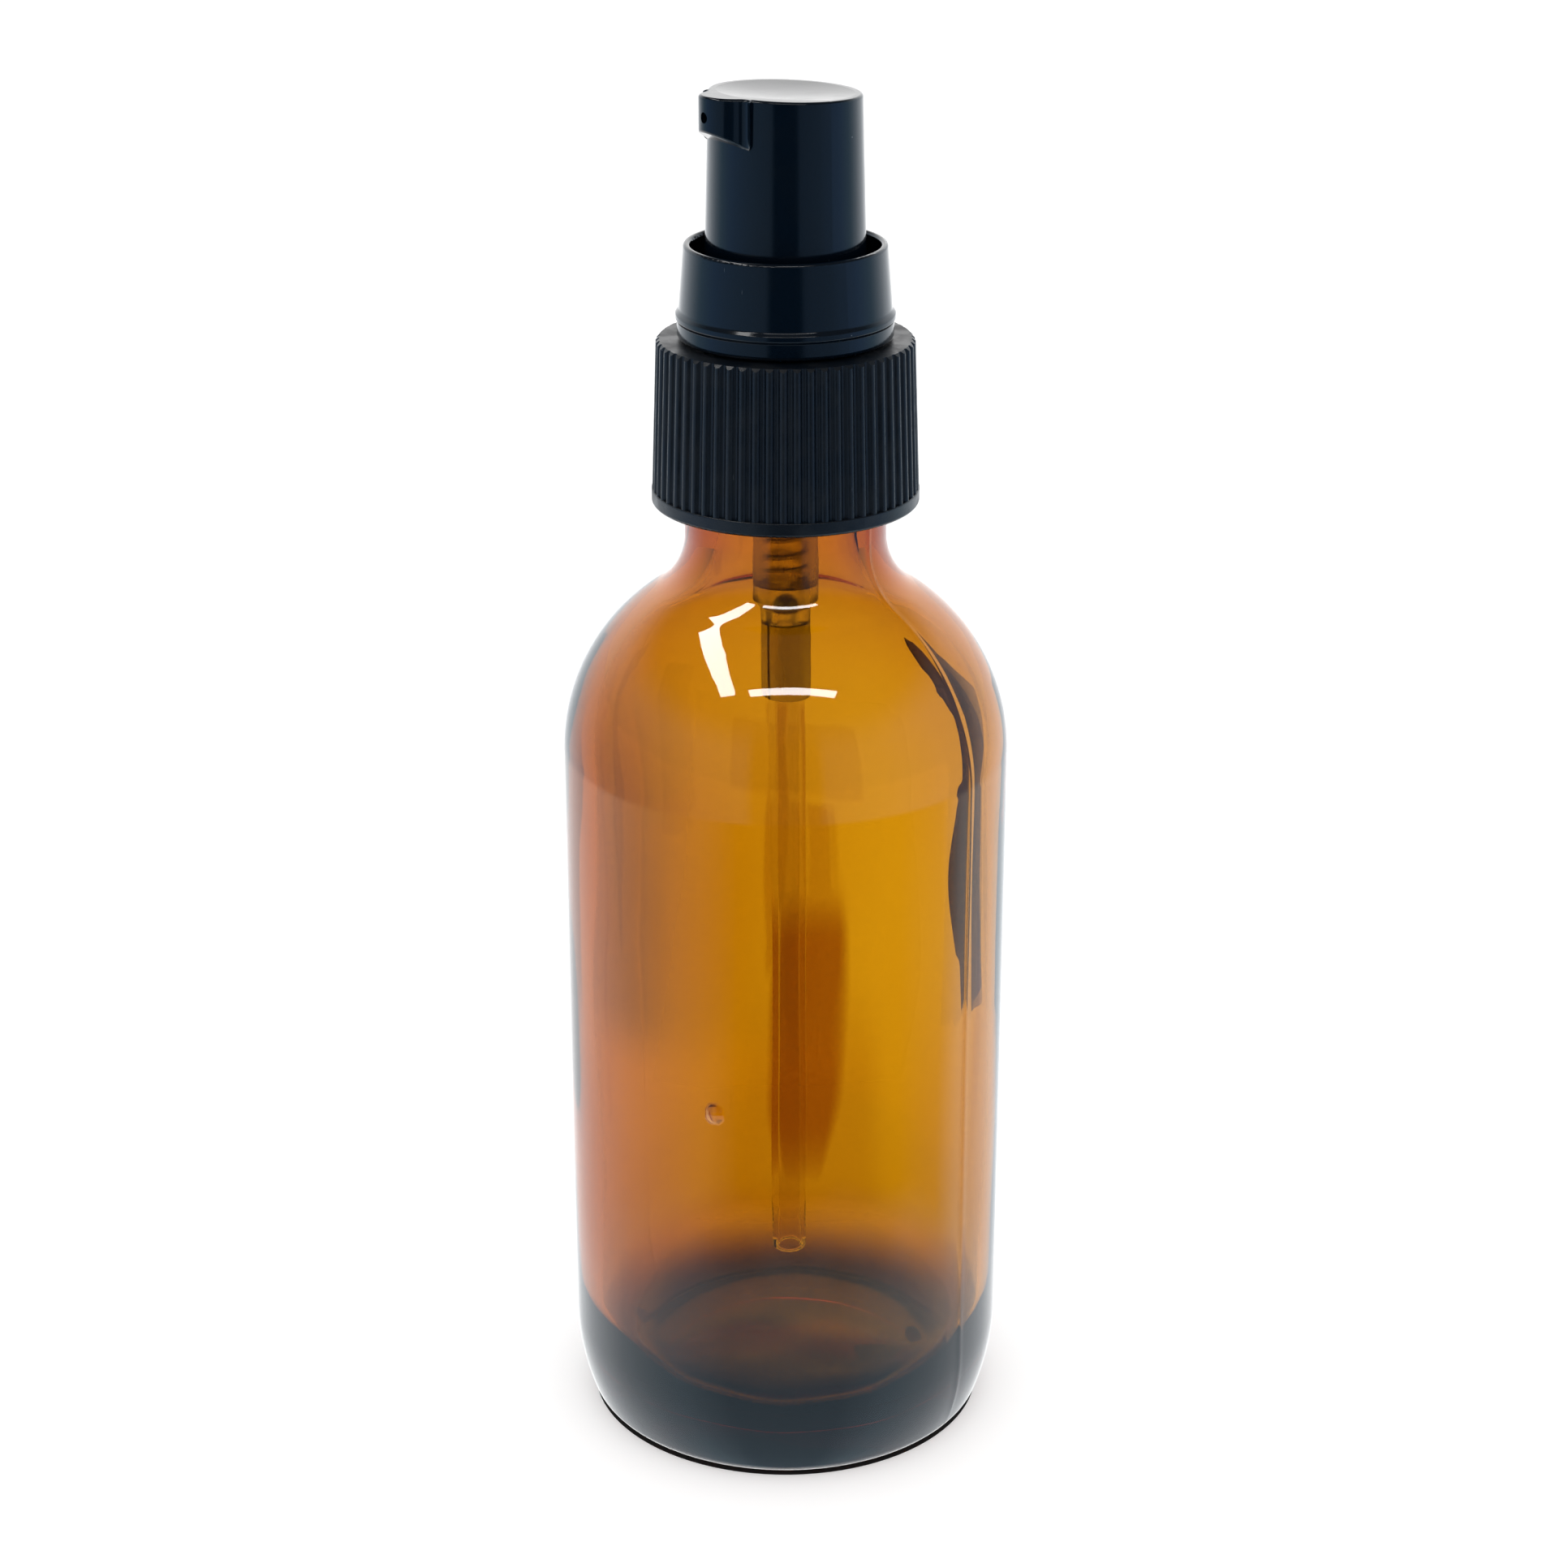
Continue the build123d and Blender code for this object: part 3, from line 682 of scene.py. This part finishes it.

# Painted shade behind the bottle on the left, seen through the glass: each ramp is low, high, and the
# values at them
BACK_SHADE_LEFT = -66.0
BACK_SHADE_RIGHT = 16.0
BACK_SHADE_HIGH = 80.0
BACK_SHADE_TINT = (0.52, 0.56, 0.62)
BACK_SHADE_SIDE = (-32, -12, 1.0, 0.30)
BACK_SHADE_MIDDLE = (-8, BACK_SHADE_RIGHT, 1.0, 0.0)
BACK_SHADE_FOOT = (0, 10, 0.0, 1.0)
BACK_SHADE_TOP = (22, 62, 1.0, 0.0)

# Shadow on the floor. Its body: ramps of its width and its lean, then its edge
SHADE_NEAR = 26.0
SHADE_FAR = 196.0
SHADE_HALF_W = 24.0
SHADE_TINT = (0.50, 0.27, 0.05)
SHADE_TAPER = (28, 60, 0.45, 1.0)
SHADE_LEAN = (36, 84, 0.8, -0.8)
SHADE_EDGE = (3.6, 6.2, 1.0, 0.0)
SHADE_BODY = (38, 14, 112, 14)

# The rest of it: centre, half width and softness; near and far ends, each with softness; depth
SHADE_PARTS = (
    ((0.6, 10.5, 4.5), (28, 4, 75, 17), 0.35),
    ((-2.0, 5.6, 0.7), (90, 5, 138, 5), 0.28),
    ((-5.8, 1.7, 0.6), (90, 5, 190, 5), 0.45),
    ((0.6, 1.7, 0.6), (90, 3, 138, 3), 0.45),
    ((-2.5, 12.5, 0.8), (141, 2, 178, 2), 0.15),
)


def reflected_studio(n):
    """What gloss shows of the studio, by the direction it looks.

    Level: a dark gap at the camera, bluish room, white behind. Lower: the dark camera side
    lies more to the right. Lowest: the table near the bottle. Overhead: a dark ceiling.
    """
    direction = n.add("TexCoord").outputs["Generated"]

    def along(axis):
        """How far the direction goes along an axis."""
        node = n.add("VectorMath", operation="DOT_PRODUCT")
        n.join(direction, node.inputs[0])
        node.inputs[1].default_value = axis
        return node.outputs["Value"]

    towards = n.math("MULTIPLY", along(AWAY), -1.0)
    turn = n.math("ARCTAN2", along(RIGHT), towards)
    share = n.math("ADD", n.math("DIVIDE", turn, math.tau), 0.5)
    up = along(Vector((0, 0, 1)))

    def panorama(*stops):
        """Colours by degrees to the right of the camera side."""
        return n.colours(share, *[(0.5 + degrees / 360, colour) for degrees, colour in stops])

    level = panorama(
        (-180, (1.5, 1.5, 1.5)),
        (-135, (1.0, 1.1, 1.2)),
        (-106, (0.30, 0.50, 0.68)),
        (-85, (0.22, 0.40, 0.70)),
        (-50, (0.19, 0.32, 0.50)),
        (-21, (0.15, 0.24, 0.36)),
        (-16, (0.01, 0.03, 0.06)),
        (16, (0.01, 0.03, 0.06)),
        (21, (0.12, 0.20, 0.32)),
        (50, (0.16, 0.26, 0.40)),
        (85, (0.24, 0.42, 0.74)),
        (106, (0.32, 0.52, 0.70)),
        (135, (1.0, 1.1, 1.2)),
        (180, (1.5, 1.5, 1.5)),
    )
    lower = panorama(
        (-180, (1.5, 1.5, 1.5)),
        (-123, (1.2, 1.2, 1.25)),
        (-98, (1.05, 1.05, 1.1)),
        (-70, (0.6, 0.65, 0.7)),
        (-46, (0.28, 0.32, 0.35)),
        (-25, (0.02, 0.02, 0.02)),
        (62, (0.02, 0.02, 0.02)),
        (88, (0.20, 0.23, 0.26)),
        (104, (0.85, 1.05, 1.15)),
        (123, (0.90, 1.1, 1.25)),
        (180, (1.5, 1.5, 1.5)),
    )
    lowest = panorama(
        (-180, (1.5, 1.5, 1.5)),
        (-110, (1.3, 1.4, 1.5)),
        (-60, (0.85, 1.1, 1.3)),
        (-30, (0.55, 0.75, 0.92)),
        (30, (0.55, 0.75, 0.92)),
        (60, (0.85, 1.1, 1.3)),
        (110, (1.3, 1.4, 1.5)),
        (180, (1.5, 1.5, 1.5)),
    )
    shown = n.mix(n.ramp(up, *LOWER_BELOW, 0.0, 1.0), lower, level)
    shown = n.mix(n.ramp(up, *LOWEST_BELOW, 0.0, 1.0), lowest, shown)
    return n.mix(n.ramp(up, *CEILING_ABOVE, 0.0, 1.0), shown, CEILING)


def add_world():
    """White studio; the floor gets more light, and shiny surfaces see the darker room."""
    world = bpy.data.worlds.new("studio")
    scene.world = world
    n = Nodes(world)
    path = n.add("LightPath")
    plain = n.tree.nodes["Background"]
    plain.inputs["Color"].default_value = (*WHITE, 1)
    plain.inputs["Strength"].default_value = STUDIO_STRENGTH
    lit = n.add("Background", Color=(*WHITE, 1), Strength=FLOOR_LIGHT_STRENGTH)
    shown = n.add("Background", Strength=REFLECTED_STRENGTH)
    n.join(reflected_studio(n), shown.inputs["Color"])
    first = n.add("MixShader")
    n.join(path.outputs["Is Diffuse Ray"], first.inputs["Fac"])
    n.join(plain.outputs["Background"], first.inputs[1])
    n.join(lit.outputs["Background"], first.inputs[2])
    second = n.add("MixShader")
    n.join(path.outputs["Is Glossy Ray"], second.inputs["Fac"])
    n.join(first.outputs["Shader"], second.inputs[1])
    n.join(shown.outputs["Background"], second.inputs[2])
    n.join(second.outputs["Shader"], n.tree.nodes["World Output"].inputs["Surface"])


def group(name, pieces):
    """Collection that a lamp is limited to."""
    collection = bpy.data.collections.new(name)
    for piece in pieces:
        collection.objects.link(piece)
    return collection


def add_lamp(name, start, end, width, radiance, receivers):
    """Long ceiling lamp between two places given as (right, away) shares of its height."""
    start = studio(start[0] * LAMP_HEIGHT, start[1] * LAMP_HEIGHT, LAMP_HEIGHT)
    end = studio(end[0] * LAMP_HEIGHT, end[1] * LAMP_HEIGHT, LAMP_HEIGHT)
    data = bpy.data.lights.new(name, "AREA")
    data.shape = "RECTANGLE"
    data.size = (end - start).length
    data.size_y = width * MM
    data.energy = radiance * math.pi * data.size * data.size_y
    lamp = bpy.data.objects.new(name, data)
    scene.collection.objects.link(lamp)
    lamp.location = (start + end) / 2
    lamp.rotation_euler = (0, 0, math.atan2(end.y - start.y, end.x - start.x))
    lamp.visible_camera = False
    lamp.visible_diffuse = False
    lamp.visible_transmission = False
    lamp.light_linking.receiver_collection = receivers


def add_lamps(glass_pieces, plastic_pieces):
    """The same lamps twice: bright for the glass, dimmer for the plastics."""
    for kind, radiance, pieces in (
        ("glass", GLASS_LAMP_RADIANCE, glass_pieces),
        ("plastic", PLASTIC_LAMP_RADIANCE, plastic_pieces),
    ):
        lit = group(kind + "_lamp_receivers", pieces)
        for name, (start, end, width) in LAMPS.items():
            add_lamp(kind + "_" + name, start, end, width, radiance, lit)


class Sheet(Nodes):
    """Material of a thin stage piece that filters or adds light by the place on it."""

    def __init__(self, name):
        super().__init__(bpy.data.materials.new(name))

    def distance(self):
        """Millimetres from the piece's origin."""
        length = self.add("VectorMath", operation="LENGTH")
        self.join(self.add("TexCoord").outputs["Object"], length.inputs[0])
        return self.math("DIVIDE", length.outputs["Value"], MM)

    def axes(self, *names):
        """The piece's own coordinates by axis name, in millimetres."""
        place = self.add("SeparateXYZ")
        self.join(self.add("TexCoord").outputs["Object"], place.inputs["Vector"])
        return [self.math("DIVIDE", place.outputs[name], MM) for name in names]

    def show(self, shader):
        self.join(shader, self.tree.nodes["Material Output"].inputs["Surface"])
        return self.owner

    def clear(self, mask, first, second):
        """Filter that colours what is seen through it, from first to second by the mask."""
        shader = self.add("BsdfTransparent")
        self.join(self.mix(mask, first, second), shader.inputs["Color"])
        return self.show(shader.outputs["BSDF"])


def matte(name, colour, roughness):
    return Finish(name, Base_Color=(*colour, 1), Roughness=roughness).owner


def add_stage_mesh(name, vertices, faces, material):
    """Piece of the studio, which is no part of the object."""
    piece = add_mesh(name, vertices, faces, material)
    return piece


def add_sheet(name, corners, material):
    """Flat stage piece with four corners."""
    return add_stage_mesh(name, corners, [(0, 1, 2, 3)], material)


def add_disc(name, radius, level, material):
    """Flat stage disc at the centre of the floor."""
    rim = []
    for step in range(DISC_STEPS):
        angle = math.tau * step / DISC_STEPS
        rim.append((radius * MM * math.cos(angle), radius * MM * math.sin(angle), 0))
    disc = add_stage_mesh(name, rim, [tuple(range(DISC_STEPS))], material)
    disc.location.z = level * MM
    return disc


def only_seen_through_glass(piece):
    piece.visible_camera = False
    piece.visible_diffuse = False
    piece.visible_glossy = False
    piece.visible_shadow = False


def add_floor():
    """Pale table, left out of what the gloss shows."""
    half = FLOOR_HALF * MM
    corners = [(-half, -half, 0), (half, -half, 0), (half, half, 0), (-half, half, 0)]
    floor = add_sheet("floor", corners, matte("floor", FLOOR_COLOUR, FLOOR_ROUGHNESS))
    floor.location.z = FLOOR_LEVEL * MM
    floor.visible_glossy = False


def add_base_shade():
    """Painted shade under the bottle: a dark disc that the base shows through the glass, and the soft
    contact shadow that the thick base shows.
    """
    pad = add_disc("pad", BASE_SHADE_R, BASE_SHADE_LEVEL, matte("pad", BASE_SHADE_COLOUR, BASE_SHADE_ROUGHNESS))
    pad.visible_glossy = False
    f = Sheet("contact")
    spread = f.ramp(f.distance(), BASE_SHADE_R, CONTACT_R, 0.0, 1.0)
    only_seen_through_glass(
        add_disc("contact", CONTACT_R, CONTACT_LEVEL, f.clear(spread, CONTACT_TINT, WHITE))
    )


def add_glow():
    """Light kept on the floor close to the base, where the bottle would shade it."""
    f = Sheet("glow")
    light = f.add("Emission")
    f.join(f.ramp(f.distance(), BODY_R, GLOW_R, GLOW_STRENGTH, 0.0), light.inputs["Strength"])
    both = f.add("AddShader")
    f.join(f.add("BsdfTransparent").outputs["BSDF"], both.inputs[0])
    f.join(light.outputs["Emission"], both.inputs[1])
    glow = add_disc("glow", GLOW_R, GLOW_LEVEL, f.show(both.outputs["Shader"]))
    glow.visible_diffuse = False
    glow.visible_glossy = False
    glow.visible_transmission = False
    glow.visible_shadow = False


def add_flag():
    """Dark wavy-edged card behind on the right, seen only through the glass."""
    vertices = []
    for step in range(FLAG_STEPS + 1):
        height = FLAG_LOW + (FLAG_HIGH - FLAG_LOW) * step / FLAG_STEPS
        wave = sum(size * math.sin(height / length + shift) for size, length, shift in FLAG_WAVES)
        taper = FLAG_TAPER * (1 - smooth((height - FLAG_LOW) / FLAG_TAPER_H))
        bulge = FLAG_BULGE * smooth((height - FLAG_BULGE_Z) / FLAG_BULGE_H)
        vertices.append(studio(FLAG_LEFT + wave + taper - bulge, CARD_AWAY, height))
        vertices.append(studio(FLAG_RIGHT + wave / 2, CARD_AWAY, height))
    faces = [(2 * i, 2 * i + 1, 2 * i + 3, 2 * i + 2) for i in range(FLAG_STEPS)]
    only_seen_through_glass(
        add_stage_mesh("flag", vertices, faces, matte("flag", CARD_BLACK, CARD_ROUGHNESS))
    )


def add_side_flag():
    """Dark card beside the bottle on the right, for what the wall reflects inside itself."""
    corners = [studio(SIDE_FLAG_RIGHT, away, height) for away, height in (
        (SIDE_FLAG_NEAR, SIDE_FLAG_LOW),
        (SIDE_FLAG_FAR, SIDE_FLAG_LOW),
        (SIDE_FLAG_FAR, SIDE_FLAG_HIGH),
        (SIDE_FLAG_NEAR, SIDE_FLAG_HIGH),
    )]
    only_seen_through_glass(
        add_sheet("side_flag", corners, matte("side_flag", CARD_BLACK, CARD_ROUGHNESS))
    )


def add_back_shade():
    """Painted shade: a sheet that dims the left side behind the bottle, seen only through the glass.
    """
    f = Sheet("haze")
    across, up = f.axes("X", "Z")
    side = f.math("MULTIPLY", f.ramp(across, *BACK_SHADE_SIDE), f.ramp(across, *BACK_SHADE_MIDDLE))
    fade = f.math("MULTIPLY", f.ramp(up, *BACK_SHADE_FOOT), f.ramp(up, *BACK_SHADE_TOP))
    corners = [(x * MM, 0, z * MM) for x, z in (
        (BACK_SHADE_LEFT, 0), (BACK_SHADE_RIGHT, 0), (BACK_SHADE_RIGHT, BACK_SHADE_HIGH), (BACK_SHADE_LEFT, BACK_SHADE_HIGH),
    )]
    haze = add_sheet("haze", corners, f.clear(f.math("MULTIPLY", side, fade), WHITE, BACK_SHADE_TINT))
    haze.location = studio(0, CARD_AWAY, 0)
    haze.rotation_euler.z = CAMERA_AZIMUTH
    only_seen_through_glass(haze)


def add_shade():
    """Amber shadow of the bottle on the floor behind it, seen only through the glass."""
    f = Sheet("shade")
    across, along = f.axes("X", "Y")

    def off(centre):
        return f.math("ABSOLUTE", f.math("SUBTRACT", across, centre))

    def band(centre, half, soft):
        return f.ramp(off(centre), half - soft, half + soft, 1.0, 0.0)

    def stretch(near, near_soft, far, far_soft):
        start = f.ramp(along, near - near_soft, near + near_soft, 0.0, 1.0)
        return f.math("MULTIPLY", start, f.ramp(along, far - far_soft, far + far_soft, 1.0, 0.0))

    inside = f.math("DIVIDE", off(f.ramp(along, *SHADE_LEAN)), f.ramp(along, *SHADE_TAPER))
    mask = f.math("MULTIPLY", f.ramp(inside, *SHADE_EDGE), stretch(*SHADE_BODY))
    for width, length, depth in SHADE_PARTS:
        shape = f.math("MULTIPLY", band(*width), stretch(*length))
        mask = f.math("MAXIMUM", mask, f.math("MULTIPLY", shape, depth))
    corners = [(x * MM, y * MM, 0) for x, y in (
        (-SHADE_HALF_W, SHADE_NEAR),
        (SHADE_HALF_W, SHADE_NEAR),
        (SHADE_HALF_W, SHADE_FAR),
        (-SHADE_HALF_W, SHADE_FAR),
    )]
    shade = add_sheet("shade", corners, f.clear(mask, WHITE, SHADE_TINT))
    shade.location.z = SHADE_LEVEL * MM
    shade.rotation_euler.z = CAMERA_AZIMUTH
    only_seen_through_glass(shade)


scene.view_settings.view_transform = "Standard"
glass = amber_glass()
spring_steel = steel("spring_steel", 0.2, (0.2, 0.2, 1))
finish_nodes(glass, spring_steel)
bottle = make_bottle(glass)
make_spring(spring_steel)
add_world()
add_lamps([bottle], [piece for node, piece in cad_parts.items() if node != "bottle"])
add_floor()
add_base_shade()
add_glow()
add_flag()
add_side_flag()
add_shade()
add_back_shade()
add_camera()
